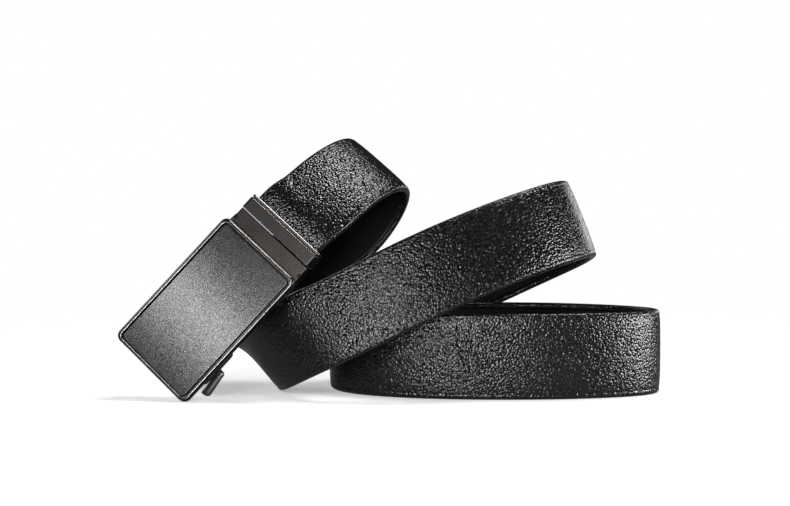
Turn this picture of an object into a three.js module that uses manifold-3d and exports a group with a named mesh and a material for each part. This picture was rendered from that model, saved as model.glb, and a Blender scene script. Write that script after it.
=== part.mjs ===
// A men's ratchet belt. The strap is coiled in three loops that stand on edge, and the buckle at its end
// leans on the ground at the left. Millimetres, +X along the coil, +Y away from the front, +Z up.

import * as THREE from 'three';
import { mergeVertices } from 'three/addons/utils/BufferGeometryUtils.js';
import Module from 'manifold-3d';

const wasm = await Module();
wasm.setup();

// Strap
const STRAP_WIDTH = 35;
const STRAP_THICKNESS = 3.6;
const COIL_LENGTH = 140;
const COIL_DEPTH = 80;
const COIL_HEIGHT = 85;
const TIP_RADIUS = 8;
const LINING_MARGIN = 2.4;
const LINING_RECESS = 1.4;
const LINING_THICKNESS = 1.0;
const LINING_CHAMFER = 0.25;
const GAP = 0.3;

// Ratchet track
const TRACK_WIDTH = 8;
const TRACK_BASE = 1.0;
const TOOTH_HEIGHT = 1.2;
const TOOTH_PITCH = 6;
const TOOTH_COUNT = 15;
const TRACK_START = 14;
const TOOTH_CREST = 0.7;
const TOOTH_FOOT = 0.78;

// Buckle
const FRAME_LENGTH = 66.7;
const FRAME_RADIUS = 3.2;
const FRAME_TOP = 4.4;
const FRAME_PLATE = 3.0;
const WELL_RADIUS = 2.0;
const RIM_WIDTH = 2.0;
const END_RIM = 1.4;
const RIM_BEVEL = 0.45;
const FACE_DEPTH = 1.6;
const FACE_THICKNESS = 1.3;
const FACE_GROOVE = 0.4;
const FACE_RADIUS = 1.6;
const FACE_BEVEL = 0.2;
const FACE_SEAT = 0.1;
const NECK_LENGTH = 7.2;
const NECK_TOP = 0.5;
const NECK_THICKNESS = 2.4;
const ARM_THICKNESS = 1.3;
const ARM_INSET = 1.4;
const ARM_ROOT = 3;
const ARM_BOSS = 2;
const CLAMP_BAND = 5.7;
const CLAMP_LIP = 1.6;
const CLAMP_WALL = 1.4;
const CLAMP_SIDE = 1.5;
const LIP_STEP = 0.35;
const LIP_LAP = 0.2;
const TAIL_CLEARANCE = 0.35;
const SIDE_THICKNESS = 1.1;
const SIDE_INSET = 1.85;
const HINGE_PLACE = 55.3;
const HINGE_DEPTH = 2.5;
const HINGE_RADIUS = 1.0;
const LUG_HALF = 2.6;
const LUG_DROP = 2;
const LUG_RADIUS = 1.8;
const SHAFT_PLACE = 18;
const SHAFT_DEPTH = 4.8;
const SHAFT_RADIUS = 1.3;
const SHAFT_PROUD = 0.3;
const SHAFT_INSET = 0.4;
const EAR_NEAR = 10.3;
const EAR_FAR = 27.3;
const EAR_DROP = 2.3;
const EAR_RADIUS = 2.4;
const EAR_LAP = 0.2;
const LEVER_REACH = 11.4;
const LEVER_WIDTH = 2.4;
const LEVER_THICKNESS = 2.2;
const LEVER_STANDOFF = 0.5;
const LEVER_DROOP = 12;
const PAWL_WIDTH = 24;
const PAWL_REACH = 8.5;
const PAWL_TIP_DEPTH = 3.0;
const PAWL_THICKNESS = 1.4;
const PAWL_ROOT = 1.2;
const SLEEVE_WALL = 0.9;

// The way the buckle leans, in degrees, and where its free end stands
const BUCKLE_RISE = 47.3;
const BUCKLE_RECEDE = 3;
const BUCKLE_TILT = 47;
const BUCKLE_LEAN = 17;
const BUCKLE_X = -98.7;
const BUCKLE_Y = 4.5;
const STRAP_SHIFT = 0.6;

// Strap stations, from the free end to the clamp, for the line along the strap's lower edge: x, y and z are
// shares of the coil's length, depth and height, tilt leans the strap's width to the left, and lean to the
// back
const STATIONS = [
  { x: 0.030, y: 0.760, z: 0.000, tilt: 0, lean: 0 },
  { x: 0.130, y: 0.800, z: 0.000, tilt: 0, lean: 0 },
  { x: 0.270, y: 0.825, z: 0.000, tilt: 0, lean: 0 },
  { x: 0.400, y: 0.825, z: 0.000, tilt: 0, lean: 0 },
  { x: 0.520, y: 0.780, z: 0.000, tilt: 0, lean: 0 },
  { x: 0.640, y: 0.680, z: 0.000, tilt: 0, lean: 0 },
  { x: 0.730, y: 0.560, z: 0.000, tilt: 0, lean: 0 },
  { x: 0.785, y: 0.430, z: 0.000, tilt: 0, lean: 0 },
  { x: 0.790, y: 0.290, z: 0.000, tilt: 0, lean: 0 },
  { x: 0.735, y: 0.180, z: 0.000, tilt: 0, lean: 0 },
  { x: 0.640, y: 0.105, z: 0.000, tilt: 0, lean: 0 },
  { x: 0.500, y: 0.040, z: 0.000, tilt: 0, lean: 0 },
  { x: 0.330, y: 0.020, z: 0.000, tilt: 0, lean: 0 },
  { x: 0.170, y: 0.035, z: 0.000, tilt: 0, lean: 0 },
  { x: 0.040, y: 0.085, z: 0.000, tilt: 0, lean: 0 },
  { x: -0.080, y: 0.180, z: 0.000, tilt: 0, lean: 0 },
  { x: -0.168, y: 0.310, z: 0.002, tilt: -1, lean: 0 },
  { x: -0.198, y: 0.455, z: 0.010, tilt: -2, lean: 0 },
  { x: -0.170, y: 0.640, z: 0.036, tilt: 2, lean: 0 },
  { x: -0.085, y: 0.820, z: 0.094, tilt: 12, lean: 0 },
  { x: 0.030, y: 0.900, z: 0.175, tilt: 22, lean: 0 },
  { x: 0.160, y: 0.905, z: 0.260, tilt: 25, lean: 0 },
  { x: 0.280, y: 0.915, z: 0.355, tilt: 25, lean: 0 },
  { x: 0.395, y: 0.895, z: 0.445, tilt: 25, lean: 1 },
  { x: 0.505, y: 0.830, z: 0.535, tilt: 24, lean: 3 },
  { x: 0.590, y: 0.700, z: 0.610, tilt: 22, lean: 6 },
  { x: 0.620, y: 0.520, z: 0.662, tilt: 21, lean: 10 },
  { x: 0.592, y: 0.340, z: 0.674, tilt: 20, lean: 14 },
  { x: 0.515, y: 0.180, z: 0.648, tilt: 19, lean: 16 },
  { x: 0.390, y: 0.055, z: 0.585, tilt: 19, lean: 16 },
  { x: 0.230, y: -0.035, z: 0.482, tilt: 21, lean: 15 },
  { x: 0.080, y: -0.085, z: 0.372, tilt: 23, lean: 15 },
  { x: -0.060, y: -0.090, z: 0.255, tilt: 24, lean: 17 },
  { x: -0.190, y: -0.050, z: 0.155, tilt: 25, lean: 18 },
  { x: -0.280, y: 0.090, z: 0.070, tilt: 29, lean: 12 },
  { x: -0.335, y: 0.270, z: 0.010, tilt: 34, lean: 5 },
  { x: -0.345, y: 0.460, z: 0.000, tilt: 40, lean: 2 },
  { x: -0.325, y: 0.605, z: 0.080, tilt: 46, lean: 4 },
  { x: -0.305, y: 0.685, z: 0.255, tilt: 49, lean: 8 },
  { x: -0.250, y: 0.712, z: 0.465, tilt: 52, lean: 13 },
  { x: -0.093, y: 0.715, z: 0.610, tilt: 56, lean: 17 },
  { x: -0.013, y: 0.705, z: 0.760, tilt: 57, lean: 21 },
  { x: 0.034, y: 0.670, z: 0.890, tilt: 54, lean: 25 },
  { x: 0.050, y: 0.590, z: 0.985, tilt: 50, lean: 27 },
  { x: 0.028, y: 0.440, z: 1.014, tilt: 47, lean: 26 },
  { x: -0.022, y: 0.300, z: 0.979, tilt: 46, lean: 24 },
  { x: -0.085, y: 0.180, z: 0.903, tilt: 47, lean: 21 },
  { x: -0.145, y: 0.090, z: 0.803, tilt: 47, lean: 19 },
];

// One side of the strap's section, from the middle of the outer face round the edge: inset is the distance in
// from the strap's edge, and out the share of the thickness, 0 on the inner face and 1 on the outer one
const STRAP_PROFILE = [
  { inset: 5.5, out: 0.97 },
  { inset: 1.3, out: 0.89 },
  { inset: 0.35, out: 0.72 },
  { inset: 0.0, out: 0.54 },
  { inset: 0.0, out: 0.28 },
  { inset: 0.45, out: 0.09 },
  { inset: 1.4, out: 0.0 },
];

// Distances from the free end where the strap has extra stations, for its round corners
const TIP_STATIONS = [0, 0.5, 1.8, 4];

// Distances from the strap's far end where it already runs straight, in line with the clamp
const STRAIGHT = [11, 5.5, 0];

const LARGEST_TURN = 11;
const LARGEST_STEP = 14;
const RAD = Math.PI / 180;

// Materials
const finish = (name, color, roughness, metalness) =>
  new THREE.MeshStandardMaterial({ name, color, roughness, metalness });
const leather = finish('pebbled_leather', 0x141414, 0.5, 0);
const liningLeather = finish('smooth_leather', 0x0e0e0e, 0.6, 0);
const nylon = finish('black_nylon', 0x101010, 0.55, 0);
const gunmetal = finish('satin_gunmetal', 0x4a4745, 0.35, 1);
const polished = finish('polished_gunmetal', 0x5c5856, 0.18, 1);
const sanded = finish('sandblasted_gunmetal', 0x3f4144, 0.6, 1);

// Solids: meshes with shared corners merged, joined and cut as manifolds
function positionsOnly(geometry) {
  const bare = geometry.clone();
  bare.deleteAttribute('normal');
  bare.deleteAttribute('uv');
  return mergeVertices(bare, 1e-4);
}

function solid(geometry) {
  const merged = positionsOnly(geometry);
  return new wasm.Manifold(new wasm.Mesh({
    numProp: 3,
    vertProperties: Float32Array.from(merged.attributes.position.array),
    triVerts: Uint32Array.from(merged.index.array),
  }));
}

function shell(manifold) {
  const mesh = manifold.getMesh();
  const geometry = new THREE.BufferGeometry();
  geometry.setAttribute('position', new THREE.BufferAttribute(mesh.vertProperties, 3));
  geometry.setIndex(new THREE.BufferAttribute(mesh.triVerts, 1));
  return geometry;
}

function piece(name, geometry, material) {
  const mesh = new THREE.Mesh(geometry, material);
  mesh.name = name;
  return mesh;
}

// The strap's path: a uniform cubic spline through rows of named columns, which keeps its bends even
const COLUMNS = ['x', 'y', 'z', 'tilt', 'lean'];

function blend(rows, span, u) {
  const weights = [
    (1 - u) ** 3,
    3 * u ** 3 - 6 * u ** 2 + 4,
    -3 * u ** 3 + 3 * u ** 2 + 3 * u + 1,
    u ** 3,
  ];
  const row = {};
  for (const column of COLUMNS) {
    row[column] = weights.reduce((sum, weight, k) => sum + weight * rows[span + k][column] / 6, 0);
  }
  return row;
}

// A row past each end, so that the path starts and stops on its first and last rows
function extended(rows) {
  const beyond = (end, next) =>
    Object.fromEntries(COLUMNS.map((column) => [column, 2 * end[column] - next[column]]));
  return [beyond(rows[0], rows[1]), ...rows, beyond(rows.at(-1), rows.at(-2))];
}

function upward(tilt, lean) {
  const t = tilt * RAD;
  const l = lean * RAD;
  return new THREE.Vector3(-Math.sin(t) * Math.cos(l), Math.sin(l), Math.cos(t) * Math.cos(l));
}

function squareTo(direction, along) {
  return direction.clone().addScaledVector(along, -direction.dot(along)).normalize();
}

function edgePoint(rows, span, u) {
  const row = blend(rows, span, u);
  return new THREE.Vector3(row.x, row.y, row.z);
}

function station(rows, span, u) {
  const step = 1e-3;
  const ahead = edgePoint(rows, span, u + step);
  const along = ahead.sub(edgePoint(rows, span, u - step)).normalize();
  const row = blend(rows, span, u);
  const across = squareTo(upward(row.tilt, row.lean), along);
  const edge = new THREE.Vector3(row.x, row.y, row.z);
  const middle = edge.addScaledVector(across, STRAP_WIDTH / 2);
  return { middle, along, across, out: across.clone().cross(along) };
}

function walk(rows) {
  const all = extended(rows);
  const stations = [station(all, 0, 0)];
  for (let span = 0; span < rows.length - 1; span += 1) {
    const from = station(all, span, 0);
    const to = station(all, span, 1);
    const turn = from.along.angleTo(to.along) / RAD;
    const steps = Math.ceil(Math.max(turn / LARGEST_TURN, from.middle.distanceTo(to.middle) / LARGEST_STEP));
    for (let k = 1; k <= steps; k += 1) {
      stations.push(station(all, span, k / steps));
    }
  }
  let travelled = 0;
  stations.forEach((at, k) => {
    travelled += k > 0 ? at.middle.distanceTo(stations[k - 1].middle) : 0;
    at.travelled = travelled;
  });
  return stations;
}

// The place at a distance along the walk, between its two nearest stations
function placeAt(stations, distance) {
  const next = Math.max(1, stations.findIndex((at) => at.travelled >= distance));
  const [a, b] = [stations[next - 1], stations[next]];
  const share = (distance - a.travelled) / (b.travelled - a.travelled);
  const middle = a.middle.clone().lerp(b.middle, share);
  const along = a.along.clone().lerp(b.along, share).normalize();
  const across = squareTo(a.across.clone().lerp(b.across, share), along);
  return { middle, along, across, out: across.clone().cross(along), travelled: distance };
}

// A closed ribbon: sectionAt gives each station's outline as [across, out] pairs, upper edge first
function ribbon(stations, sectionAt) {
  const sections = stations.map(sectionAt);
  const around = sections[0].length;
  const positions = [];
  stations.forEach((at, i) => {
    for (const [across, out] of sections[i]) {
      const p = at.middle.clone().addScaledVector(at.across, across).addScaledVector(at.out, out);
      positions.push(p.x, p.y, p.z);
    }
  });
  const faces = [];
  for (let i = 0; i < stations.length - 1; i += 1) {
    for (let j = 0; j < around; j += 1) {
      const next = (j + 1) % around;
      const a = i * around + j;
      const b = i * around + next;
      const climbs = sections[i][j][0] <= sections[i][next][0];
      faces.push(...(climbs ? [a, a + around, b + around, a, b + around, b]
        : [a, a + around, b, b, a + around, b + around]));
    }
  }
  const cap = (i, turned) => {
    const outline = sections[i].map(([across, out]) => new THREE.Vector2(across, out));
    for (const [a, b, c] of THREE.ShapeUtils.triangulateShape(outline, [])) {
      const start = i * around;
      faces.push(...(turned ? [start + a, start + c, start + b] : [start + a, start + b, start + c]));
    }
  };
  cap(0, false);
  cap(stations.length - 1, true);
  const geometry = new THREE.BufferGeometry();
  geometry.setAttribute('position', new THREE.Float32BufferAttribute(positions, 3));
  geometry.setIndex(faces);
  return geometry;
}

// Half of the strap's width, drawn in round the corners of the free end
function halfWidth(at) {
  const left = Math.max(TIP_RADIUS - at.travelled, 0);
  return STRAP_WIDTH / 2 - TIP_RADIUS + Math.sqrt(TIP_RADIUS ** 2 - left ** 2);
}

const outShare = (share) => (share - 0.5) * STRAP_THICKNESS;

function strapSection(at) {
  const half = halfWidth(at);
  const floor = outShare(0) + LINING_RECESS;
  const upper = [
    [half - LINING_MARGIN, floor],
    [half - LINING_MARGIN, outShare(0)],
    ...STRAP_PROFILE.map(({ inset, out }) => [half - inset, outShare(out)]).reverse(),
  ];
  const lower = upper.map(([across, out]) => [-across, out]).reverse();
  return [...upper, [0, outShare(1)], ...lower];
}

function liningSection(at) {
  const edge = halfWidth(at) - LINING_MARGIN - GAP;
  const back = outShare(0);
  const front = back + LINING_THICKNESS;
  return [
    [edge, front],
    [-edge, front],
    [-edge, back + LINING_CHAMFER],
    [-edge + LINING_CHAMFER, back],
    [edge - LINING_CHAMFER, back],
    [edge, back + LINING_CHAMFER],
  ];
}

// The toothed track: each tooth climbs away from the free end and drops steeply
function trackGeometry(stations) {
  const places = [];
  for (let tooth = 0; tooth < TOOTH_COUNT; tooth += 1) {
    const start = TRACK_START + tooth * TOOTH_PITCH;
    places.push({ ...placeAt(stations, start), height: 0 });
    places.push({ ...placeAt(stations, start + TOOTH_PITCH * TOOTH_CREST), height: TOOTH_HEIGHT });
    places.push({ ...placeAt(stations, start + TOOTH_PITCH * TOOTH_FOOT), height: 0 });
  }
  const base = outShare(0) - GAP;
  const edge = TRACK_WIDTH / 2;
  return ribbon(places, (place) => [
    [edge, base],
    [-edge, base],
    [-edge, base - TRACK_BASE - place.height],
    [edge, base - TRACK_BASE - place.height],
  ]);
}

// Buckle pieces, in the buckle's own frame: x from its free end towards the strap, y across to its upper
// side, z outward from the middle of the strap's thickness
function roundedOutline(x0, x1, halfY, radius) {
  const shape = new THREE.Shape();
  shape.moveTo(x0 + radius, -halfY);
  shape.absarc(x1 - radius, -halfY + radius, radius, -Math.PI / 2, 0);
  shape.absarc(x1 - radius, halfY - radius, radius, 0, Math.PI / 2);
  shape.absarc(x0 + radius, halfY - radius, radius, Math.PI / 2, Math.PI);
  shape.absarc(x0 + radius, -halfY + radius, radius, Math.PI, Math.PI * 1.5);
  return shape;
}

function plate(shape, z0, z1, bevel = 0) {
  const geometry = new THREE.ExtrudeGeometry(shape, {
    depth: z1 - z0 - 2 * bevel,
    curveSegments: 4,
    bevelEnabled: bevel > 0,
    bevelThickness: bevel,
    bevelSize: bevel,
    bevelOffset: -bevel,
    bevelSegments: 1,
  });
  return geometry.translate(0, 0, z0 + bevel);
}

// A block between two corners
function block(x0, x1, y0, y1, z0, z1) {
  const geometry = new THREE.BoxGeometry(x1 - x0, y1 - y0, z1 - z0);
  return geometry.translate((x0 + x1) / 2, (y0 + y1) / 2, (z0 + z1) / 2);
}

// A shape drawn in x and z, thick along y from y0 to y1
function sideways(shape, y0, y1) {
  const depth = y1 - y0;
  const geometry = new THREE.ExtrudeGeometry(shape, { depth, curveSegments: 4, bevelEnabled: false });
  return geometry.rotateX(Math.PI / 2).translate(0, y1, 0);
}

function bar(x, z, radius, y0, y1, sides = 20) {
  return new THREE.CylinderGeometry(radius, radius, y1 - y0, sides).translate(x, (y0 + y1) / 2, z);
}

// A side ear: a plate that hangs from the frame's tray, round at its back corners
function earShape(x0, x1, top, bottom, radius) {
  const shape = new THREE.Shape();
  shape.moveTo(x0, top);
  shape.lineTo(x0, bottom + radius);
  shape.absarc(x0 + radius, bottom + radius, radius, Math.PI, Math.PI * 1.5);
  shape.absarc(x1 - radius, bottom + radius, radius, Math.PI * 1.5, Math.PI * 2);
  shape.lineTo(x1, top);
  return shape;
}

// The frame is as wide as the strap's tail between its ears asks for
const SIDE_INNER = STRAP_WIDTH / 2 + TAIL_CLEARANCE;
const SIDE_OUTER = SIDE_INNER + SIDE_THICKNESS;
const HALF_FRAME = SIDE_OUTER + SIDE_INSET;
const FRAME_BACK = FRAME_TOP - FRAME_PLATE;
const ARM_OUTER = HALF_FRAME - ARM_INSET;
const ARM_INNER = ARM_OUTER - ARM_THICKNESS;

function frameSolid() {
  let frame = solid(plate(roundedOutline(0, FRAME_LENGTH, HALF_FRAME, FRAME_RADIUS), FRAME_BACK, FRAME_TOP,
    RIM_BEVEL));
  const wellEnd = FRAME_LENGTH - RIM_WIDTH;
  const well = roundedOutline(END_RIM, wellEnd, HALF_FRAME - RIM_WIDTH, WELL_RADIUS);
  frame = frame.subtract(solid(plate(well, FRAME_TOP - FACE_DEPTH, FRAME_TOP + 1)));
  const earBottom = -SHAFT_DEPTH - EAR_DROP;
  const lugBottom = -HINGE_DEPTH - LUG_DROP;
  const lugOuter = ARM_INNER - GAP;
  for (const side of [-1, 1]) {
    const span = (a, b) => (side > 0 ? [a, b] : [-b, -a]);
    const root = FRAME_BACK + EAR_LAP;
    const ear = earShape(EAR_NEAR, EAR_FAR, root, earBottom, EAR_RADIUS);
    frame = frame.add(solid(sideways(ear, ...span(SIDE_INNER, SIDE_OUTER))));
    const lug = earShape(HINGE_PLACE - LUG_HALF, HINGE_PLACE + LUG_HALF, root, lugBottom, LUG_RADIUS);
    frame = frame.add(solid(sideways(lug, ...span(lugOuter - SIDE_THICKNESS, lugOuter))));
  }
  const reach = HALF_FRAME + 1;
  frame = frame.subtract(solid(bar(SHAFT_PLACE, -SHAFT_DEPTH, SHAFT_RADIUS + GAP, -reach, reach)));
  return frame.subtract(solid(bar(HINGE_PLACE, -HINGE_DEPTH, HINGE_RADIUS + GAP, -reach, reach)));
}

function facePlateGeometry() {
  const edge = RIM_WIDTH + FACE_GROOVE;
  const shape = roundedOutline(END_RIM + FACE_GROOVE, FRAME_LENGTH - edge, HALF_FRAME - edge, FACE_RADIUS);
  const floor = FRAME_TOP - FACE_DEPTH + FACE_SEAT;
  return plate(shape, floor, floor + FACE_THICKNESS, FACE_BEVEL);
}

// The bridge between frame and clamp, with an arm along each side to the hinge pin
function neckSolid() {
  const near = FRAME_LENGTH + GAP;
  const far = FRAME_LENGTH + NECK_LENGTH - GAP;
  const bottom = NECK_TOP - NECK_THICKNESS;
  let neck = solid(block(near, far, -ARM_OUTER, ARM_OUTER, bottom, NECK_TOP));
  const armTop = FRAME_BACK - GAP;
  const arm = new THREE.Shape();
  arm.moveTo(near + ARM_ROOT, armTop);
  arm.lineTo(HINGE_PLACE, armTop);
  arm.lineTo(HINGE_PLACE, -HINGE_DEPTH + ARM_BOSS);
  arm.absarc(HINGE_PLACE, -HINGE_DEPTH, ARM_BOSS, Math.PI / 2, Math.PI * 1.5);
  arm.lineTo(near + ARM_ROOT, -HINGE_DEPTH - ARM_BOSS);
  for (const side of [-1, 1]) {
    const y = side > 0 ? [ARM_INNER, ARM_OUTER] : [-ARM_OUTER, -ARM_INNER];
    neck = neck.add(solid(sideways(arm, ...y)));
  }
  return neck.subtract(solid(bar(HINGE_PLACE, -HINGE_DEPTH, HINGE_RADIUS + GAP, -HALF_FRAME, HALF_FRAME)));
}

// The clamp: a band and a lip that close round the strap's end
function clampSolid() {
  const start = FRAME_LENGTH + NECK_LENGTH;
  const hollowY = STRAP_WIDTH / 2 + GAP;
  const hollowZ = STRAP_THICKNESS / 2 + GAP;
  const across = (x0, x1, halfY, halfZ) =>
    solid(block(x0, x1, -STRAP_SHIFT - halfY, halfY - STRAP_SHIFT, -halfZ, halfZ));
  const ring = (x0, x1, step) => across(x0, x1, hollowY + CLAMP_SIDE - step, hollowZ + CLAMP_WALL - step);
  const band = ring(start, start + CLAMP_BAND, 0);
  const end = start + CLAMP_BAND + CLAMP_LIP;
  const lip = ring(start + CLAMP_BAND - LIP_LAP, end, LIP_STEP);
  return band.add(lip).subtract(across(start + CLAMP_WALL, end + 1, hollowY, hollowZ));
}

// The release lever: the shaft through both ears, bent along the frame's lower side to a round tip
function leverSolid() {
  const inner = -SIDE_OUTER - LEVER_STANDOFF;
  const outer = inner - LEVER_WIDTH;
  const shaft = solid(bar(SHAFT_PLACE, -SHAFT_DEPTH, SHAFT_RADIUS, outer + SHAFT_INSET,
    SIDE_OUTER + SHAFT_PROUD));
  const arm = new THREE.Shape();
  const tip = LEVER_WIDTH / 2;
  arm.moveTo(SHAFT_PLACE + SHAFT_RADIUS, outer);
  arm.lineTo(SHAFT_PLACE + SHAFT_RADIUS, inner);
  arm.lineTo(SHAFT_PLACE - LEVER_REACH + tip, inner);
  arm.absarc(SHAFT_PLACE - LEVER_REACH + tip, inner - tip, tip, Math.PI / 2, Math.PI * 1.5);
  const bent = plate(arm, -LEVER_THICKNESS / 2, LEVER_THICKNESS / 2).translate(-SHAFT_PLACE, 0, 0);
  bent.rotateY(-LEVER_DROOP * RAD).translate(SHAFT_PLACE, 0, -SHAFT_DEPTH);
  return shaft.add(solid(bent));
}

// The pawl: a sleeve round the shaft, and a blade that slopes forward to the strap's teeth
function pawlSolid() {
  const halfY = PAWL_WIDTH / 2;
  const bore = SHAFT_RADIUS + GAP;
  const sleeve = solid(bar(SHAFT_PLACE, -SHAFT_DEPTH, bore + SLEEVE_WALL, -halfY, halfY));
  const rise = SHAFT_DEPTH - PAWL_TIP_DEPTH;
  const angle = Math.atan2(rise, PAWL_REACH);
  const blade = block(PAWL_ROOT, PAWL_REACH, -halfY, halfY, -PAWL_THICKNESS / 2, PAWL_THICKNESS / 2);
  blade.rotateY(-angle).translate(SHAFT_PLACE, 0, -SHAFT_DEPTH);
  const hole = solid(bar(SHAFT_PLACE, -SHAFT_DEPTH, bore, -halfY - 1, halfY + 1));
  return sleeve.add(solid(blade)).subtract(hole);
}

function buckleGroup() {
  const buckle = new THREE.Group();
  buckle.add(
    piece('buckle_frame', shell(frameSolid()), gunmetal),
    piece('face_plate', facePlateGeometry(), sanded),
    piece('clamp_neck', shell(neckSolid()), gunmetal),
    piece('strap_clamp', shell(clampSolid()), gunmetal),
    piece('hinge_pin', bar(HINGE_PLACE, -HINGE_DEPTH, HINGE_RADIUS, -ARM_OUTER, ARM_OUTER, 16), polished),
    piece('release_lever', shell(leverSolid()), polished),
    piece('pawl', shell(pawlSolid()), polished),
  );
  return buckle;
}

// The buckle leans so that its lowest corner stands on the ground
const rise = BUCKLE_RISE * RAD;
const recede = BUCKLE_RECEDE * RAD;
const towardStrap = new THREE.Vector3(
  Math.cos(rise) * Math.cos(recede),
  Math.sin(recede),
  Math.sin(rise) * Math.cos(recede),
);
const upEdge = squareTo(upward(BUCKLE_TILT, BUCKLE_LEAN), towardStrap);
const outward = towardStrap.clone().cross(upEdge);

const buckle = buckleGroup();
buckle.quaternion.setFromRotationMatrix(new THREE.Matrix4().makeBasis(towardStrap, upEdge, outward));
buckle.updateMatrixWorld(true);
const lowest = new THREE.Box3().setFromObject(buckle, true).min.z;
buckle.position.set(BUCKLE_X, BUCKLE_Y, -lowest);

// The strap ends inside the clamp, and runs straight for its last stretch
const STRAP_END = FRAME_LENGTH + NECK_LENGTH + CLAMP_WALL + GAP;

function straightRow(beyond) {
  const edge = buckle.position.clone()
    .addScaledVector(towardStrap, STRAP_END + beyond)
    .addScaledVector(upEdge, -STRAP_WIDTH / 2 - STRAP_SHIFT);
  return { x: edge.x, y: edge.y, z: edge.z, tilt: BUCKLE_TILT, lean: BUCKLE_LEAN };
}

const coilRows = STATIONS.map((row) =>
  ({ ...row, x: row.x * COIL_LENGTH, y: row.y * COIL_DEPTH, z: row.z * COIL_HEIGHT }));
const stations = walk([...coilRows, ...STRAIGHT.map(straightRow)]);

// Extra stations round the corners of the free end
const tip = TIP_STATIONS.map((distance) => placeAt(stations, distance));
const strapStations = [...tip, ...stations.filter((at) => at.travelled > TIP_RADIUS - 1)];

const belt = new THREE.Group();
belt.add(
  piece('strap', ribbon(strapStations, strapSection), leather),
  piece('strap_lining', ribbon(strapStations, liningSection), liningLeather),
  piece('ratchet_track', trackGeometry(stations), nylon),
  buckle,
);

// The origin is on the ground, under the middle of the whole belt
belt.updateMatrixWorld(true);
const extent = new THREE.Box3().setFromObject(belt, true);
const centre = extent.getCenter(new THREE.Vector3());
belt.position.set(-centre.x, -centre.y, -extent.min.z);

export default belt;
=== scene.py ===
# The dressed ratchet belt: strap, lining and buckle finishes, floor, lights and camera. Metres.
import math

import bmesh
import bpy
import numpy as np
from mathutils import Matrix, Vector


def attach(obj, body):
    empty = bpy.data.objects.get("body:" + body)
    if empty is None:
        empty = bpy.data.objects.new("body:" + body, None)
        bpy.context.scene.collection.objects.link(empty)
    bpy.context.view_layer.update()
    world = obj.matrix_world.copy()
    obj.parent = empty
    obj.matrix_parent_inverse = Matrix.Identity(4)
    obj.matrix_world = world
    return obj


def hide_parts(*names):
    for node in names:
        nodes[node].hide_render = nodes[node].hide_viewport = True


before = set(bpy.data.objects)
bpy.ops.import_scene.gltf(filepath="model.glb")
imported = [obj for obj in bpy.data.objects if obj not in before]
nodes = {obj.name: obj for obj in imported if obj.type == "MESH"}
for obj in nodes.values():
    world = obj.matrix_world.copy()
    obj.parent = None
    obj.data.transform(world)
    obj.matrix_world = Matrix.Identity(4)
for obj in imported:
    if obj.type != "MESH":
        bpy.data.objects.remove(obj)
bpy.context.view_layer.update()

MM = 0.001

# Sizes of the solids that the strap follows, in millimetres
STRAP_WIDTH = 35.0
STRAP_THICKNESS = 3.6
COIL = np.array([140.0, 80.0, 85.0])
TIP_RADIUS = 8.0
LINING_MARGIN = 2.4
LINING_RECESS = 1.4
LINING_THICKNESS = 1.0
GAP = 0.3
FRAME_LENGTH = 66.7
HALF_FRAME = 20.8
FRAME_RADIUS = 3.2
FRAME_BACK = 1.4
FRAME_TOP = 4.4
RIM_WIDTH = 2.0
END_RIM = 1.4
WELL_RADIUS = 2.0
FACE_FLOOR = 2.9
FACE_GROOVE = 0.4
FACE_RADIUS = 1.6
SIDE_INNER = 17.85
SIDE_OUTER = 18.95
EAR = (10.3, 27.3, -7.1, 2.4)
SHAFT = (18.0, -4.8, 1.3)
HINGE = (55.3, -2.5, 1.0)
LUG = (52.7, 57.9, -4.5, 1.8)
LUG_OUTER = 17.8
LUG_THICKNESS = 1.1
ARM_INNER = 18.1
ARM_OUTER = 19.4
ARM_BOSS = 2.0
ARM_END = 70.0
NECK_LENGTH = 7.2
NECK_LAP = 1.2
NECK_TOP = 0.5
NECK_BOTTOM = -1.9
CLAMP_WALL = 1.4
CLAMP_SIDE = 1.5
LEVER_REACH = 11.4
LEVER_DROOP = 12.0
STRAP_SHIFT = 0.6
BUCKLE_RISE = 47.3
BUCKLE_RECEDE = 3.0
BUCKLE_TILT = 47.0
BUCKLE_LEAN = 17.0
BUCKLE_PLACE = np.array([-98.7, 4.5])
STRAIGHT = (11.0, 5.5, 0.0)

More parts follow.
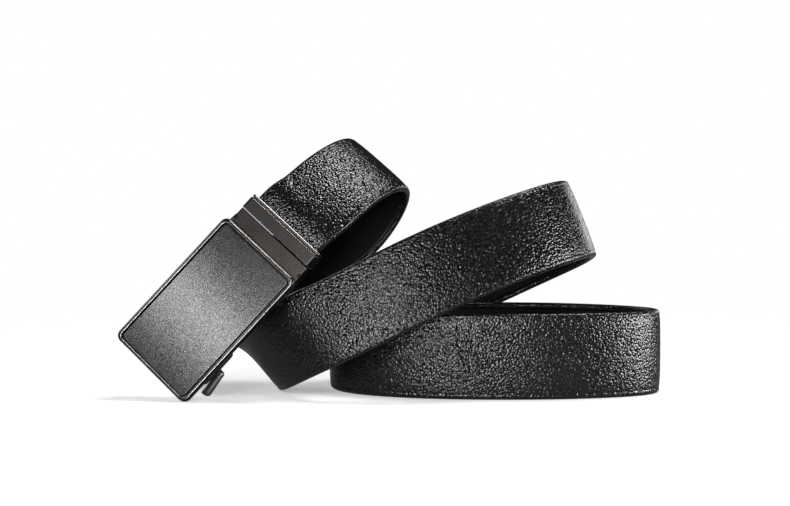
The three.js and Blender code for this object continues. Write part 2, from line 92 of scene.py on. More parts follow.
# The strap's lower edge, from the free end to the clamp: x, y and z as shares of the coil's size, then the
# width's lean to the left and to the back in degrees
STATIONS = [
    (0.030, 0.760, 0.000, 0, 0),
    (0.130, 0.800, 0.000, 0, 0),
    (0.270, 0.825, 0.000, 0, 0),
    (0.400, 0.825, 0.000, 0, 0),
    (0.520, 0.780, 0.000, 0, 0),
    (0.640, 0.680, 0.000, 0, 0),
    (0.730, 0.560, 0.000, 0, 0),
    (0.785, 0.430, 0.000, 0, 0),
    (0.790, 0.290, 0.000, 0, 0),
    (0.735, 0.180, 0.000, 0, 0),
    (0.640, 0.105, 0.000, 0, 0),
    (0.500, 0.040, 0.000, 0, 0),
    (0.330, 0.020, 0.000, 0, 0),
    (0.170, 0.035, 0.000, 0, 0),
    (0.040, 0.085, 0.000, 0, 0),
    (-0.080, 0.180, 0.000, 0, 0),
    (-0.168, 0.310, 0.002, -1, 0),
    (-0.198, 0.455, 0.010, -2, 0),
    (-0.170, 0.640, 0.036, 2, 0),
    (-0.085, 0.820, 0.094, 12, 0),
    (0.030, 0.900, 0.175, 22, 0),
    (0.160, 0.905, 0.260, 25, 0),
    (0.280, 0.915, 0.355, 25, 0),
    (0.395, 0.895, 0.445, 25, 1),
    (0.505, 0.830, 0.535, 24, 3),
    (0.590, 0.700, 0.610, 22, 6),
    (0.620, 0.520, 0.662, 21, 10),
    (0.592, 0.340, 0.674, 20, 14),
    (0.515, 0.180, 0.648, 19, 16),
    (0.390, 0.055, 0.585, 19, 16),
    (0.230, -0.035, 0.482, 21, 15),
    (0.080, -0.085, 0.372, 23, 15),
    (-0.060, -0.090, 0.255, 24, 17),
    (-0.190, -0.050, 0.155, 25, 18),
    (-0.280, 0.090, 0.070, 29, 12),
    (-0.335, 0.270, 0.010, 34, 5),
    (-0.345, 0.460, 0.000, 40, 2),
    (-0.325, 0.605, 0.080, 46, 4),
    (-0.305, 0.685, 0.255, 49, 8),
    (-0.250, 0.712, 0.465, 52, 13),
    (-0.093, 0.715, 0.610, 56, 17),
    (-0.013, 0.705, 0.760, 57, 21),
    (0.034, 0.670, 0.890, 54, 25),
    (0.050, 0.590, 0.985, 50, 27),
    (0.028, 0.440, 1.014, 47, 26),
    (-0.022, 0.300, 0.979, 46, 24),
    (-0.085, 0.180, 0.903, 47, 21),
    (-0.145, 0.090, 0.803, 47, 19),
]

# Half of the strap's section, from the middle of the outer face round the edge to the back: distance in from
# the edge in mm, and the share of the thickness. The dip near the edge is the creased line
STRAP_PROFILE = [
    (15.0, 1.000),
    (12.0, 0.994),
    (9.0, 0.980),
    (6.0, 0.955),
    (4.2, 0.928),
    (3.1, 0.900),
    (2.6, 0.882),
    (2.35, 0.862),
    (2.10, 0.862),
    (1.85, 0.880),
    (1.45, 0.872),
    (1.05, 0.845),
    (0.65, 0.795),
    (0.33, 0.700),
    (0.12, 0.590),
    (0.02, 0.470),
    (0.00, 0.400),
    (0.00, 0.300),
    (0.08, 0.200),
    (0.25, 0.110),
    (0.55, 0.045),
    (1.00, 0.010),
    (1.50, 0.000),
    (2.40, 0.000),
]
# Rows further in than this move in step with the narrowing tip
CROWN_INSET = 6.0


# Path of the strap
def unit(v):
    return v / np.linalg.norm(v)


def upward(tilt, lean):
    t, l = math.radians(tilt), math.radians(lean)
    return np.array([-math.sin(t) * math.cos(l), math.sin(l), math.cos(t) * math.cos(l)])


def square_to(direction, along):
    return unit(direction - along * direction.dot(along))


rise, recede = math.radians(BUCKLE_RISE), math.radians(BUCKLE_RECEDE)
toward_strap = np.array([
    math.cos(rise) * math.cos(recede), math.sin(recede), math.sin(rise) * math.cos(recede)])
up_edge = square_to(upward(BUCKLE_TILT, BUCKLE_LEAN), toward_strap)
outward = np.cross(toward_strap, up_edge)


def node_points(name):
    o = nodes[name]
    return np.array([o.matrix_world @ v.co for v in o.data.vertices]) / MM


# The buckle's own origin, measured from its solids: x from the free end, y across, z out of the strap
frame_points = node_points("buckle_frame")
buckle_origin = (
    toward_strap * (frame_points @ toward_strap).min()
    + up_edge * ((frame_points @ up_edge).min() + HALF_FRAME)
    + outward * ((frame_points @ outward).max() - FRAME_TOP))
# The strap's table counts from the same place as the buckle's position
lowest = min(
    (x * toward_strap + y * up_edge + z * outward)[2]
    for x, y, z in (frame_points - buckle_origin) @ np.array([toward_strap, up_edge, outward]).T)
table_origin = buckle_origin - np.array([*BUCKLE_PLACE, -lowest])


def straight_row(beyond):
    start = FRAME_LENGTH + NECK_LENGTH + CLAMP_WALL + GAP
    edge = buckle_origin - table_origin + toward_strap * (start + beyond)
    edge = edge - up_edge * (STRAP_WIDTH / 2 + STRAP_SHIFT)
    return (*edge, BUCKLE_TILT, BUCKLE_LEAN)


rows = np.array([(*(np.array(row[:3]) * COIL), *row[3:]) for row in STATIONS]
                + [straight_row(beyond) for beyond in STRAIGHT])
rows = np.vstack([2 * rows[0] - rows[1], rows, 2 * rows[-1] - rows[-2]])


def blend(span, u):
    weights = np.array([
        (1 - u) ** 3, 3 * u ** 3 - 6 * u ** 2 + 4, -3 * u ** 3 + 3 * u ** 2 + 3 * u + 1, u ** 3]) / 6
    return weights @ rows[span:span + 4]


def station(span, u):
    step = 1e-3
    along = unit(blend(span, u + step)[:3] - blend(span, u - step)[:3])
    row = blend(span, u)
    across = square_to(upward(row[3], row[4]), along)
    middle = row[:3] + table_origin + across * STRAP_WIDTH / 2
    return {"middle": middle, "along": along, "across": across, "out": np.cross(across, along)}


def walk(step):
    """Stations about step millimetres apart, each with its distance from the free end."""
    found = [station(0, 0.0)]
    for span in range(len(rows) - 3):
        a, b = station(span, 0.0)["middle"], station(span, 1.0)["middle"]
        count = max(2, math.ceil(np.linalg.norm(b - a) / step))
        found += [station(span, k / count) for k in range(1, count + 1)]
    travelled = 0.0
    for k, at in enumerate(found):
        travelled += np.linalg.norm(at["middle"] - found[k - 1]["middle"]) if k else 0.0
        at["travelled"] = travelled
    return found


def place_at(stations, distance):
    reach = [at["travelled"] for at in stations]
    k = int(np.clip(np.searchsorted(reach, distance), 1, len(stations) - 1))
    a, b = stations[k - 1], stations[k]
    share = (distance - a["travelled"]) / (b["travelled"] - a["travelled"])

    def mix(key):
        return a[key] * (1 - share) + b[key] * share

    along = unit(mix("along"))
    across = square_to(mix("across"), along)
    return {"middle": mix("middle"), "along": along, "across": across, "out": np.cross(across, along),
            "travelled": distance}


def half_width(travelled):
    left = max(TIP_RADIUS - travelled, 0.0)
    return STRAP_WIDTH / 2 - TIP_RADIUS + math.sqrt(TIP_RADIUS ** 2 - left ** 2)


def out_share(share):
    return (share - 0.5) * STRAP_THICKNESS


# Mesh helpers
def mesh_object(name, verts, faces):
    mesh = bpy.data.meshes.new(name)
    mesh.from_pydata([tuple(v) for v in np.asarray(verts) * MM], [], faces)
    mesh.validate()
    bm = bmesh.new()
    bm.from_mesh(mesh)
    bmesh.ops.recalc_face_normals(bm, faces=bm.faces)
    bm.to_mesh(mesh)
    bm.free()
    for p in mesh.polygons:
        p.use_smooth = True
    o = bpy.data.objects.new(name, mesh)
    bpy.context.scene.collection.objects.link(o)
    return o


def ribbon(name, stations, section_at):
    """A closed ribbon; section_at gives each station's outline as (across, out) pairs."""
    verts, faces = [], []
    for at in stations:
        verts += [at["middle"] + at["across"] * a + at["out"] * o for a, o in section_at(at)]
    around = len(verts) // len(stations)
    for i in range(len(stations) - 1):
        for j in range(around):
            a, b = i * around + j, i * around + (j + 1) % around
            faces.append((a, b, b + around, a + around))
    last = (len(stations) - 1) * around
    faces.append(tuple(range(around)))
    faces.append(tuple(last + j for j in reversed(range(around))))
    return mesh_object(name, verts, faces)


def strap_section(at):
    half = half_width(at["travelled"])
    floor = out_share(0) + LINING_RECESS
    crown = STRAP_WIDTH / 2 - CROWN_INSET
    ridge = []
    for inset, share in STRAP_PROFILE:
        over = max(inset - CROWN_INSET, 0.0) * (half - CROWN_INSET) / crown
        ridge.append((half - min(inset, CROWN_INSET) - over, out_share(share)))
    upper = [(half - LINING_MARGIN, floor)] + ridge[::-1]
    lower = [(-a, o) for a, o in upper[::-1]]
    return upper + [(0.0, out_share(1.0))] + lower


def lining_section(at):
    edge = half_width(at["travelled"]) - LINING_MARGIN - GAP
    back = out_share(0)
    front = back + LINING_THICKNESS
    half = [(edge, front), (edge, back + 0.3), (edge - 0.1, back + 0.1), (edge - 0.35, back)]
    half += [(edge * share, back) for share in (0.8, 0.6, 0.4, 0.2)]
    return half + [(0.0, back)] + [(-a, o) for a, o in half[::-1]]


# Materials
def new_material(name):
    m = bpy.data.materials.new(name)
    m.use_nodes = True
    m.node_tree.nodes.clear()
    return m, m.node_tree


def node(tree, kind, **values):
    n = tree.nodes.new(kind)
    for key, value in values.items():
        if hasattr(n, key):
            setattr(n, key, value)
        else:
            n.inputs[key.replace("_", " ")].default_value = value
    return n


def math_node(tree, operation, a=None, b=None):
    n = tree.nodes.new("ShaderNodeMath")
    n.operation = operation
    for k, value in enumerate((a, b)):
        if isinstance(value, (int, float)):
            n.inputs[k].default_value = value
        elif value is not None:
            tree.links.new(value, n.inputs[k])
    return n


def noise(tree, place, scale, detail):
    n = node(tree, "ShaderNodeTexNoise", Scale=scale, Detail=detail)
    tree.links.new(place, n.inputs["Vector"])
    return n


def ramped(tree, factor, stops):
    """A colour or grey that goes through the stops as the factor grows."""
    n = tree.nodes.new("ShaderNodeValToRGB")
    while len(n.color_ramp.elements) < len(stops):
        n.color_ramp.elements.new(0.5)
    for element, (place, value) in zip(n.color_ramp.elements, stops):
        element.position = place
        color = value if isinstance(value, tuple) else (value, value, value)
        element.color = (*color, 1)
    tree.links.new(factor, n.inputs["Fac"])
    return n.outputs["Color"]


def finish_shader(tree, color, roughness, height, bump, distance, **sockets):
    """A principled shader with linked colour and roughness, and bump from a height."""
    shader = tree.nodes.new("ShaderNodeBsdfPrincipled")
    for key, value in sockets.items():
        shader.inputs[key.replace("_", " ")].default_value = value
    out = tree.nodes.new("ShaderNodeOutputMaterial")
    tree.links.new(color, shader.inputs["Base Color"])
    tree.links.new(roughness, shader.inputs["Roughness"])
    b = tree.nodes.new("ShaderNodeBump")
    b.inputs["Strength"].default_value = bump
    b.inputs["Distance"].default_value = distance
    tree.links.new(height, b.inputs["Height"])
    tree.links.new(b.outputs["Normal"], shader.inputs["Normal"])
    tree.links.new(shader.outputs["BSDF"], out.inputs["Surface"])
    return shader


def pebbled_leather():
    m, t = new_material("pebbled_leather")
    place = node(t, "ShaderNodeTexCoord").outputs["Object"]
    # Grain: rounded pebbles about a millimetre across, bent by slower noise and broken up by finer noise
    warp = noise(t, place, 600.0, 1.0)
    shift = t.nodes.new("ShaderNodeVectorMath")
    shift.operation = "MULTIPLY_ADD"
    t.links.new(warp.outputs["Color"], shift.inputs[0])
    shift.inputs[1].default_value = (0.0006, 0.0006, 0.0006)
    t.links.new(place, shift.inputs[2])
    pebbles = node(t, "ShaderNodeTexVoronoi", feature="F1", Scale=1040.0)
    t.links.new(shift.outputs["Vector"], pebbles.inputs["Vector"])
    fine = noise(t, place, 1700.0, 2.0)
    crease = math_node(t, "POWER", pebbles.outputs["Distance"], 2.0)
    domes = math_node(t, "SUBTRACT", 1.0, crease.outputs[0])
    grain = math_node(t, "MULTIPLY", fine.outputs["Fac"], 0.4)
    height = math_node(t, "ADD", domes.outputs[0], grain.outputs[0])
    # Colour: painted shade, dark in the creases and lighter on the domes; gloss with slow variation
    broad = noise(t, place, 45.0, 3.0)
    # Painted shade: the base colour darkens into the creases between the pebbles
    tone = ramped(t, domes.outputs[0], [
        (0.55, (0.0020, 0.0020, 0.0021)), (0.85, (0.0060, 0.0059, 0.0060)), (1.0, (0.0130, 0.0128, 0.0128))])
    gloss = ramped(t, broad.outputs["Fac"], [(0.35, 0.10), (0.65, 0.15)])
    finish_shader(t, tone, gloss, height.outputs[0], 1.0, 0.00022,
                  Specular_IOR_Level=0.5)
    return m


def smooth_leather():
    m, t = new_material("smooth_leather")
    place = node(t, "ShaderNodeTexCoord").outputs["Object"]
    grain = noise(t, place, 1500.0, 4.0)
    broad = noise(t, place, 60.0, 3.0)
    tone = ramped(t, broad.outputs["Fac"], [(0.3, (0.0018, 0.0018, 0.0019)), (0.7, (0.0032, 0.0032, 0.0034))])
    gloss = ramped(t, grain.outputs["Fac"], [(0.3, 0.60), (0.7, 0.72)])
    finish_shader(t, tone, gloss, grain.outputs["Fac"], 0.4, 0.00012,
                  Specular_IOR_Level=0.16)
    return m


def nylon():
    m, t = new_material("black_nylon")
    place = node(t, "ShaderNodeTexCoord").outputs["Object"]
    grain = noise(t, place, 2500.0, 3.0)
    tone = ramped(t, grain.outputs["Fac"], [(0.3, (0.007, 0.007, 0.007)), (0.7, (0.012, 0.012, 0.012))])
    gloss = ramped(t, grain.outputs["Fac"], [(0.3, 0.42), (0.7, 0.55)])
    finish_shader(t, tone, gloss, grain.outputs["Fac"], 0.25, 0.00006)
    return m


def metal(name, dark, light, rough, grain_scale, bump, distance):
    """Plated metal: slow tone variation, fine grain in gloss and bump."""
    m, t = new_material(name)
    place = node(t, "ShaderNodeTexCoord").outputs["Object"]
    grain = noise(t, place, grain_scale, 3.0)
    broad = noise(t, place, 70.0, 2.0)
    mixed = math_node(t, "MULTIPLY_ADD", grain.outputs["Fac"], 0.5)
    t.links.new(math_node(t, "MULTIPLY", broad.outputs["Fac"], 0.5).outputs[0], mixed.inputs[2])
    tone = ramped(t, mixed.outputs[0], [(0.3, dark), (0.7, light)])
    gloss = ramped(t, mixed.outputs[0], [(0.3, rough[0]), (0.7, rough[1])])
    finish_shader(t, tone, gloss, grain.outputs["Fac"], bump, distance,
                  Metallic=1.0)
    return m


def sandblasted():
    m, t = new_material("sandblasted_gunmetal")
    place = node(t, "ShaderNodeTexCoord").outputs["Object"]
    grain = noise(t, place, 3200.0, 2.0)
    tone = ramped(t, grain.outputs["Fac"], [
        (0.36, (0.030, 0.0305, 0.031)), (0.5, (0.060, 0.0605, 0.061)), (0.64, (0.16, 0.158, 0.155))])
    gloss = ramped(t, grain.outputs["Fac"], [(0.35, 0.15), (0.65, 0.20)])
    finish_shader(t, tone, gloss, grain.outputs["Fac"], 1.0, 0.000011,
                  Metallic=1.0)
    return m


leather = pebbled_leather()
lining_leather = smooth_leather()
black_nylon = nylon()
satin = metal("satin_gunmetal", (0.024, 0.0224, 0.0212), (0.034, 0.0318, 0.0302), (0.24, 0.32),
              2200.0, 0.10, 0.00003)
polished = metal("polished_gunmetal", (0.15, 0.144, 0.138), (0.20, 0.192, 0.184), (0.14, 0.22),
                 1500.0, 0.03, 0.00002)
burnished = metal("burnished_gunmetal", (0.17, 0.162, 0.155), (0.24, 0.230, 0.220), (0.30, 0.42),
                  1100.0, 0.20, 0.00004)
sanded = sandblasted()

# Strap, lining and the two solids that keep their shape
fine_walk = walk(1.6)
tip_places = [0.0, 0.12, 0.4, 0.8, 1.4, 2.1, 3.0, 4.0, 5.2, 6.5, 7.8]
fine_stations = ([place_at(fine_walk, d) for d in tip_places]
                 + [at for at in fine_walk if at["travelled"] > TIP_RADIUS + 0.3])

strap = ribbon("strap_shell", fine_stations, strap_section)
strap.data.materials.append(leather)
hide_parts("strap")
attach(strap, "strap_end")

lining = ribbon("lining_shell", fine_stations, lining_section)
lining.data.materials.append(lining_leather)
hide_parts("strap_lining")
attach(lining, "strap_end")


def dress(name, material, bevel, segments=3):
    """A solid kept as it is, with rounded edges and its material."""
    o = nodes[name]
    o.data.materials.clear()
    o.data.materials.append(material)
    weld = o.modifiers.new("weld", "WELD")
    weld.merge_threshold = 1e-6
    flat = o.modifiers.new("flat", "DECIMATE")
    flat.decimate_type = "DISSOLVE"
    flat.angle_limit = math.radians(0.5)
    edge = o.modifiers.new("bevel", "BEVEL")
    edge.width = bevel * MM
    edge.segments = segments
    edge.limit_method = "ANGLE"
    edge.angle_limit = math.radians(28)
    edge.use_clamp_overlap = True
    edge.harden_normals = True


dress("ratchet_track", black_nylon, 0.12, 2)
dress("pawl", polished, 0.2)


# Buckle pieces, in the buckle's own frame: x from its free end, y across to its upper side, z outward
def in_buckle(points):
    return buckle_origin + np.asarray(points) @ np.array([toward_strap, up_edge, outward])


def rounded(u0, u1, v0, v1, radius, segments=8):
    """A rectangle with round corners, as points round it."""
    corners = [(u1 - radius, v0 + radius, -90), (u1 - radius, v1 - radius, 0),
               (u0 + radius, v1 - radius, 90), (u0 + radius, v0 + radius, 180)]
    points = []
    for u, v, start in corners:
        for k in range(segments + 1):
            a = math.radians(start + 90 * k / segments)
            points.append((u + radius * math.cos(a), v + radius * math.sin(a)))
    return np.array(points)


def loft(rings, marks=None):
    """Rings of as many points each, closed at both ends, and the material of the marked bands' faces."""
    around = len(rings[0])
    verts = [v for ring in rings for v in ring]
    faces, marked = [], {}
    for i in range(len(rings) - 1):
        for j in range(around):
            if marks and i in marks:
                marked[len(faces)] = marks[i]
            a, b = i * around + j, i * around + (j + 1) % around
            faces.append((a, b, b + around, a + around))
    last = (len(rings) - 1) * around
    faces.append(tuple(range(around)))
    faces.append(tuple(last + j for j in reversed(range(around))))
    return verts, faces, marked


def side_plate(outline, hole, y0, y1, edge=0.15):
    """A plate with rounded edges, drawn in x and z, with a round hole, between two places across."""
    curve = bpy.data.curves.new("side_plate", "CURVE")
    curve.dimensions = "2D"
    curve.fill_mode = "BOTH"
    curve.extrude = (y1 - y0) / 2 - edge
    curve.bevel_depth = edge
    curve.bevel_resolution = 2
    curve.offset = -edge
    x, z, radius = hole
    turn = [-math.tau * k / 24 for k in range(24)]
    ring = [(x + radius * math.cos(a), z + radius * math.sin(a)) for a in turn]
    for points in (outline, ring):
        spline = curve.splines.new("POLY")
        spline.points.add(len(points) - 1)
        for point, (u, v) in zip(spline.points, points):
            point.co = (u, v, 0, 1)
        spline.use_cyclic_u = True
    drawn = bpy.data.objects.new("side_plate", curve)
    bpy.context.scene.collection.objects.link(drawn)
    bpy.context.view_layer.update()
    mesh = drawn.evaluated_get(bpy.context.evaluated_depsgraph_get()).to_mesh()
    verts = [(v.co.x, (y0 + y1) / 2 + v.co.z, v.co.y) for v in mesh.vertices]
    faces = [tuple(p.vertices) for p in mesh.polygons]
    bpy.data.objects.remove(drawn)
    return verts, faces, {}


def hanging(x0, x1, top, bottom, radius, steps=8):
    """The outline of a plate that hangs from a tray, round at its lower corners."""
    points = [(x0, top)]
    for centre, start in ((x0 + radius, 180), (x1 - radius, 270)):
        for k in range(steps + 1):
            a = math.radians(start + 90 * k / steps)
            points.append((centre + radius * math.cos(a), bottom + radius + radius * math.sin(a)))
    return points + [(x1, top)]


def turned(x, z, profile, sides=28):
    """A turned bar across the buckle; the profile gives places across and radii."""
    rings = []
    for y, radius in profile:
        angles = [math.tau * k / sides for k in range(sides)]
        rings.append([(x + radius * math.cos(a), y, z + radius * math.sin(a)) for a in angles])
    return loft(rings)


def buckle_piece(name, parts, materials, replaced, body):
    """One piece from several closed parts, whose marked faces have one of the further materials."""
    verts, faces, marked = [], [], {}
    for part_verts, part_faces, part_marked in parts:
        marked.update({len(faces) + k: index for k, index in part_marked.items()})
        faces += [tuple(len(verts) + v for v in face) for face in part_faces]
        verts += list(part_verts)
    o = mesh_object(name, in_buckle(verts), faces)
    for material in materials:
        o.data.materials.append(material)
    for k, index in marked.items():
        o.data.polygons[k].material_index = index
    o.data.set_sharp_from_angle(angle=math.radians(38))
    normals = o.modifiers.new("normals", "WEIGHTED_NORMAL")
    normals.keep_sharp = True
    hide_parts(replaced)
    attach(o, body)


# Frame: a tray with a rim, two ears for the lever's shaft and two lugs for the hinge pin. Each row gives the
# share of the rim's width and the height
RIM_PROFILE = [
    (0.60, 1.40), (0.24, 1.40), (0.09, 1.45), (0.02, 1.60), (0.00, 1.80), (0.00, 3.60), (0.02, 3.74),
    (0.06, 3.84), (0.24, 4.22), (0.29, 4.31), (0.35, 4.37), (0.42, 4.40), (0.72, 4.40), (0.78, 4.38),
    (0.83, 4.33), (0.87, 4.26), (0.95, 4.08), (0.985, 3.98), (1.00, 3.86), (1.00, 2.98), (1.03, 2.86),
    (1.10, 2.80)]
# The marks give each band's material: 1 is the polished bevels, 2 is black on the rim's inner wall down to
# the well, painted shade in the groove round the face plate
RIM_POLISH_AND_GROOVE_SHADE = {8: 1, 9: 1, 10: 1, 12: 1, 13: 1, 14: 1, 17: 2, 18: 2, 19: 2, 20: 2}


def frame_parts():
    outer = rounded(0, FRAME_LENGTH, -HALF_FRAME, HALF_FRAME, FRAME_RADIUS)
    well = rounded(END_RIM, FRAME_LENGTH - RIM_WIDTH, -HALF_FRAME + RIM_WIDTH, HALF_FRAME - RIM_WIDTH,
                   WELL_RADIUS)
    rings = []
    for share, z in RIM_PROFILE:
        rings.append([(x, y, z) for x, y in outer * (1 - share) + well * share])
    parts = [loft(rings, RIM_POLISH_AND_GROOVE_SHADE)]
    ear = hanging(EAR[0], EAR[1], FRAME_BACK + 0.2, *EAR[2:])
    lug = hanging(LUG[0], LUG[1], FRAME_BACK + 0.2, *LUG[2:])
    bores = [(x, z, radius + GAP) for x, z, radius in (SHAFT, HINGE)]
    for side in (-1, 1):
        across = sorted((side * SIDE_INNER, side * SIDE_OUTER))
        parts.append(side_plate(ear, bores[0], *across))
        across = sorted((side * (LUG_OUTER - LUG_THICKNESS), side * LUG_OUTER))
        parts.append(side_plate(lug, bores[1], *across))
    return parts


# The third material, black nylon, is painted shade on the rim's inner wall
buckle_piece("frame_shell", frame_parts(), (satin, polished, black_nylon), "buckle_frame", "buckle")


# Face plate: a slab with a thin bright edge. Each row gives the inset and the height above the tray's floor
FACE_PROFILE = [
    (0.30, 0.00), (0.10, 0.00), (0.00, 0.10), (0.00, 1.06), (0.03, 1.16), (0.17, 1.28), (0.26, 1.30)]
FACE_MARKS = {4: 1}


def face_parts():
    rings = []
    edge = RIM_WIDTH + FACE_GROOVE
    for inset, height in FACE_PROFILE:
        outline = rounded(END_RIM + FACE_GROOVE + inset, FRAME_LENGTH - edge - inset,
                          -HALF_FRAME + edge + inset, HALF_FRAME - edge - inset, FACE_RADIUS - inset)
        rings.append([(x, y, FACE_FLOOR + height) for x, y in outline])
    return [loft(rings, FACE_MARKS)]


buckle_piece("face_shell", face_parts(), (sanded, polished), "face_plate", "buckle")


# Neck: the band between frame and clamp, with an arm along each side to the hinge pin. Each row of its ends
# gives the place in from the end and the inset there
NECK_ENDS = [(0.00, 0.50), (0.00, 0.28), (0.07, 0.12), (0.22, 0.03), (0.40, 0.00)]
NECK_RADIUS = 0.75
NECK_MARKS = {2: 1, 3: 1}


def neck_parts():
    near, far = FRAME_LENGTH - NECK_LAP, FRAME_LENGTH + NECK_LENGTH - GAP
    ends = [(near + step, inset) for step, inset in NECK_ENDS]
    ends += [(far - step, inset) for step, inset in NECK_ENDS[::-1]]
    rings = []
    for x, inset in ends:
        outline = rounded(-ARM_OUTER + inset, ARM_OUTER - inset, NECK_BOTTOM + inset, NECK_TOP - inset,
                          NECK_RADIUS - inset)
        rings.append([(x, y, z) for y, z in outline])
    parts = [loft(rings, NECK_MARKS)]
    top, (x, z, radius) = FRAME_BACK - GAP, HINGE
    outline = [(ARM_END, NECK_TOP - 0.1), (ARM_END - 2.6, top), (x, top), (x, z + ARM_BOSS)]
    outline += [(x + ARM_BOSS * math.cos(math.radians(a)), z + ARM_BOSS * math.sin(math.radians(a)))
                for a in range(100, 271, 10)]
    outline += [(ARM_END, z - ARM_BOSS)]
    for side in (-1, 1):
        across = sorted((side * ARM_INNER, side * ARM_OUTER))
        parts.append(side_plate(outline, (x, z, radius + GAP), *across))
    return parts


buckle_piece("neck_shell", neck_parts(), (satin, polished), "clamp_neck", "strap_end")


# Clamp: a band, a groove and a rolled lip round the strap. Each row gives the place past the clamp's start,
# and the share of the wall's thickness in from its outside
CLAMP_PROFILE = [
    (0.00, 0.80), (0.00, 0.26), (0.05, 0.13), (0.18, 0.04), (0.36, 0.00), (5.26, 0.00), (5.42, 0.03),
    (5.54, 0.10), (5.60, 0.22), (5.66, 0.42), (5.90, 0.44), (6.00, 0.30), (6.14, 0.17), (6.40, 0.09),
    (6.70, 0.10), (6.98, 0.20), (7.18, 0.36), (7.29, 0.56), (7.28, 0.78), (7.18, 0.94), (7.00, 1.00),
    (1.40, 1.00)]
# The marks give each band's material: 1 is the polished edges, 2 is black in the groove between band and lip,
# painted shade
CLAMP_POLISH_AND_GROOVE_SHADE = {2: 1, 3: 1, 6: 1, 7: 1, 8: 2, 9: 2, 12: 1, 13: 1, 14: 1, 15: 1, 16: 1}


def clamp_parts():
    half_y, half_z = STRAP_WIDTH / 2 + GAP, STRAP_THICKNESS / 2 + GAP
    sizes = ((half_y + CLAMP_SIDE, half_z + CLAMP_WALL, 1.35), (half_y, half_z, 0.5))
    outer, inner = [rounded(-y - STRAP_SHIFT, y - STRAP_SHIFT, -z, z, radius) for y, z, radius in sizes]
    rings = []
    for past, share in CLAMP_PROFILE:
        x = FRAME_LENGTH + NECK_LENGTH + past
        rings.append([(x, y, z) for y, z in outer * (1 - share) + inner * share])
    return [loft(rings, CLAMP_POLISH_AND_GROOVE_SHADE)]


# The third material, black nylon, is painted shade in the clamp's groove
buckle_piece("clamp_shell", clamp_parts(), (satin, polished, black_nylon), "strap_clamp", "strap_end")


# Hinge pin, with domed ends. Each row gives the place in from the end, and the radius as a share
PIN_DOME = [(0.00, 0.25), (0.03, 0.55), (0.12, 0.82), (0.30, 0.97), (0.50, 1.00)]


def pin_parts():
    x, z, radius = HINGE
    dome = [(ARM_OUTER - step, share * radius) for step, share in PIN_DOME]
    return [turned(x, z, [(-y, r) for y, r in dome] + dome[::-1])]


buckle_piece("pin_shell", pin_parts(), (polished,), "hinge_pin", "strap_end")


# Release lever: a shaft with a domed head, and an arm that widens towards its round tip. Each row of the arm
# gives the share of its reach from the root, then half its width and half its thickness
ARM_ROWS = [
    (-0.115, 0.60, 0.45), (-0.105, 1.05, 0.74), (-0.085, 1.30, 0.94), (-0.05, 1.42, 1.06), (0.0, 1.46, 1.12),
    (0.2, 1.52, 1.20), (0.4, 1.62, 1.28), (0.6, 1.74, 1.36), (0.8, 1.84, 1.42), (0.88, 1.80, 1.38),
    (0.93, 1.58, 1.24), (0.965, 1.20, 1.00), (0.988, 0.72, 0.68), (0.998, 0.30, 0.32)]
SHAFT_HEAD = 0.3
SHAFT_FOOT = 2.4
ARM_CLEARANCE = 0.5
# A power below 1 makes the arm's section fuller than an ellipse
ARM_FULLNESS = 0.7
ARM_SIDES = 24


def lever_parts():
    x, z, radius = SHAFT
    head, foot = SIDE_OUTER + SHAFT_HEAD, -SIDE_OUTER - SHAFT_FOOT
    shaft = [(foot, 0.5), (foot, radius - 0.15), (foot + 0.15, radius), (head - 0.3, radius),
             (head - 0.1, radius - 0.15), (head, radius - 0.5), (head, 0.2)]
    inner = -SIDE_OUTER - ARM_CLEARANCE
    droop = math.radians(LEVER_DROOP)
    rings = []
    for share, half_y, half_z in ARM_ROWS:
        ring = []
        for k in range(ARM_SIDES):
            a = math.tau * k / ARM_SIDES
            c, q = math.cos(a), math.sin(a)
            y = inner - half_y + half_y * math.copysign(abs(c) ** ARM_FULLNESS, c)
            height = half_z * math.copysign(abs(q) ** ARM_FULLNESS, q)
            along = -share * LEVER_REACH
            ring.append((x + along * math.cos(droop) - height * math.sin(droop), y,
                         z + along * math.sin(droop) + height * math.cos(droop)))
        rings.append(ring)
    return [turned(x, z, shaft), loft(rings)]


buckle_piece("lever_shell", lever_parts(), (burnished,), "release_lever", "latch")


# Stage
FLOOR_HALF = 1200.0
FLOOR_FADE = (0.2, 0.5)
FLOOR_GLOW = 0.33
FLOOR_UNSEEN_BY_GLOSS = 0.8


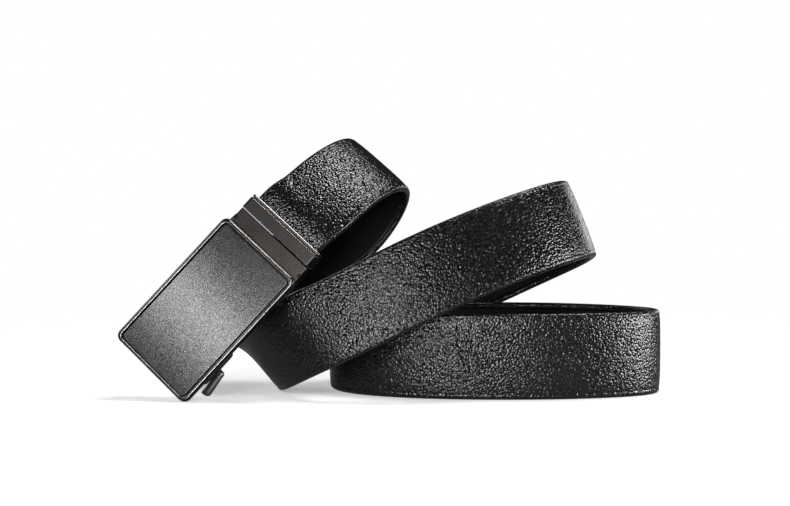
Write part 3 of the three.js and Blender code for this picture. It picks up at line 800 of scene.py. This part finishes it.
def floor():
    corners = [(-FLOOR_HALF, -FLOOR_HALF, 0), (FLOOR_HALF, -FLOOR_HALF, 0),
               (FLOOR_HALF, FLOOR_HALF, 0), (-FLOOR_HALF, FLOOR_HALF, 0)]
    o = mesh_object("floor", corners, [(0, 1, 2, 3)])
    m, t = new_material("pale_floor")
    place = node(t, "ShaderNodeTexCoord").outputs["Object"]
    grain = noise(t, place, 30.0, 2.0)
    tone = ramped(t, grain.outputs["Fac"], [(0.3, (0.80, 0.80, 0.805)), (0.7, (0.82, 0.82, 0.825))])
    gloss = ramped(t, grain.outputs["Fac"], [(0.3, 0.6), (0.7, 0.65)])
    shader = finish_shader(t, tone, gloss, grain.outputs["Fac"], 0.0, 0.0001,
                           Specular_IOR_Level=0.0, Emission_Color=(1, 1, 1, 1), Emission_Strength=FLOOR_GLOW)
    # The floor ends in the white round it, a little behind the belt
    reach = t.nodes.new("ShaderNodeVectorMath")
    reach.operation = "LENGTH"
    t.links.new(place, reach.inputs[0])
    fade = t.nodes.new("ShaderNodeMapRange")
    fade.interpolation_type = "SMOOTHSTEP"
    fade.inputs["From Min"].default_value = FLOOR_FADE[0]
    fade.inputs["From Max"].default_value = FLOOR_FADE[1]
    t.links.new(reach.outputs["Value"], fade.inputs["Value"])
    # Reflections see only part of it
    light_path = t.nodes.new("ShaderNodeLightPath")
    glossy = math_node(t, "MULTIPLY", light_path.outputs["Is Glossy Ray"], FLOOR_UNSEEN_BY_GLOSS)
    unseen = math_node(t, "MAXIMUM", fade.outputs["Result"], glossy.outputs[0])
    mix = t.nodes.new("ShaderNodeMixShader")
    t.links.new(unseen.outputs[0], mix.inputs[0])
    t.links.new(shader.outputs["BSDF"], mix.inputs[1])
    t.links.new(t.nodes.new("ShaderNodeBsdfTransparent").outputs["BSDF"], mix.inputs[2])
    t.links.new(mix.outputs[0], t.get_output_node("ALL").inputs["Surface"])
    o.data.materials.append(m)


def softbox(name, target, azimuth, elevation, distance, size, radiance, along=None):
    """A soft light that faces a target; azimuth 0 is straight in front, 90 on the right."""
    az, el = math.radians(azimuth), math.radians(elevation)
    back = Vector((math.sin(az) * math.cos(el), -math.cos(az) * math.cos(el), math.sin(el)))
    side = Vector((0, 0, 1)).cross(back) if along is None else Vector(along)
    side = (side - back * side.dot(back)).normalized()
    data = bpy.data.lights.new(name, "AREA")
    data.shape = "RECTANGLE"
    data.size, data.size_y = size
    data.energy = radiance * math.pi * size[0] * size[1]
    o = bpy.data.objects.new(name, data)
    bpy.context.scene.collection.objects.link(o)
    o.location = Vector(target) + back * distance
    o.rotation_mode = "QUATERNION"
    o.rotation_quaternion = Matrix((side, back.cross(side), back)).transposed().to_quaternion()
    o.visible_camera = False


floor()
# What the lights face: the belt's middle and the face plate's
BELT = (0, 0, 0.03)
FACE = in_buckle((FRAME_LENGTH / 2, 0, FRAME_TOP)) * MM
# Name, azimuth, elevation, size and radiance of the boxes that stand round the belt
BOX_DISTANCE = 1.2
BOXES = [
    ("front_low_box", -11, 1, (0.26, 0.20), 34.0),
    ("front_box", -15, 20, (0.24, 0.24), 28.0),
    ("right_box", 76, 8, (0.70, 0.40), 20.0),
    ("back_right_box", 142, 10, (0.50, 0.30), 3.0),
    ("back_left_box", -126, 32, (0.80, 0.80), 2.2),
    ("top_box", 106, 70, (0.32, 0.32), 24.0)]
for name, azimuth, elevation, size, radiance in BOXES:
    softbox(name, BELT, azimuth, elevation, BOX_DISTANCE, size, radiance)
# A close strip gives the band across the face plate
softbox("face_box", FACE, -31, 21, 0.35, (0.24, 0.03), 9.0, up_edge)

# White behind the belt, and dim to everything that the room lights
WORLD_LIGHT = 0.035
world = bpy.data.worlds.new("studio")
world.use_nodes = True
sky = world.node_tree
sky.nodes.clear()
seen = node(sky, "ShaderNodeBackground", Color=(1, 1, 1, 1), Strength=1.0)
lighting = node(sky, "ShaderNodeBackground", Color=(1, 1, 1, 1), Strength=WORLD_LIGHT)
chooser = node(sky, "ShaderNodeLightPath")
mix = node(sky, "ShaderNodeMixShader")
sky.links.new(chooser.outputs["Is Camera Ray"], mix.inputs[0])
sky.links.new(lighting.outputs[0], mix.inputs[1])
sky.links.new(seen.outputs[0], mix.inputs[2])
sky.links.new(mix.outputs[0], node(sky, "ShaderNodeOutputWorld").inputs["Surface"])
bpy.context.scene.world = world
bpy.context.scene.view_settings.view_transform = "Standard"

# Camera, at the height and distance that the photo was taken from
PHOTO = (790, 506)
FOCAL_PIXELS = 1494.0
CAMERA_DISTANCE = 600.0
CAMERA_HEIGHT = 83.7
CAMERA_DIP = 2.3
camera_data = bpy.data.cameras.new("camera")
camera_data.sensor_width = 36.0
camera_data.lens = FOCAL_PIXELS / PHOTO[0] * camera_data.sensor_width
camera = bpy.data.objects.new("camera", camera_data)
camera.location = Vector((table_origin[0], table_origin[1] - CAMERA_DISTANCE, CAMERA_HEIGHT)) * MM
camera.rotation_euler = (math.radians(90 - CAMERA_DIP), 0, 0)
bpy.context.scene.collection.objects.link(camera)
bpy.context.scene.camera = camera

bpy.context.view_layer.update()
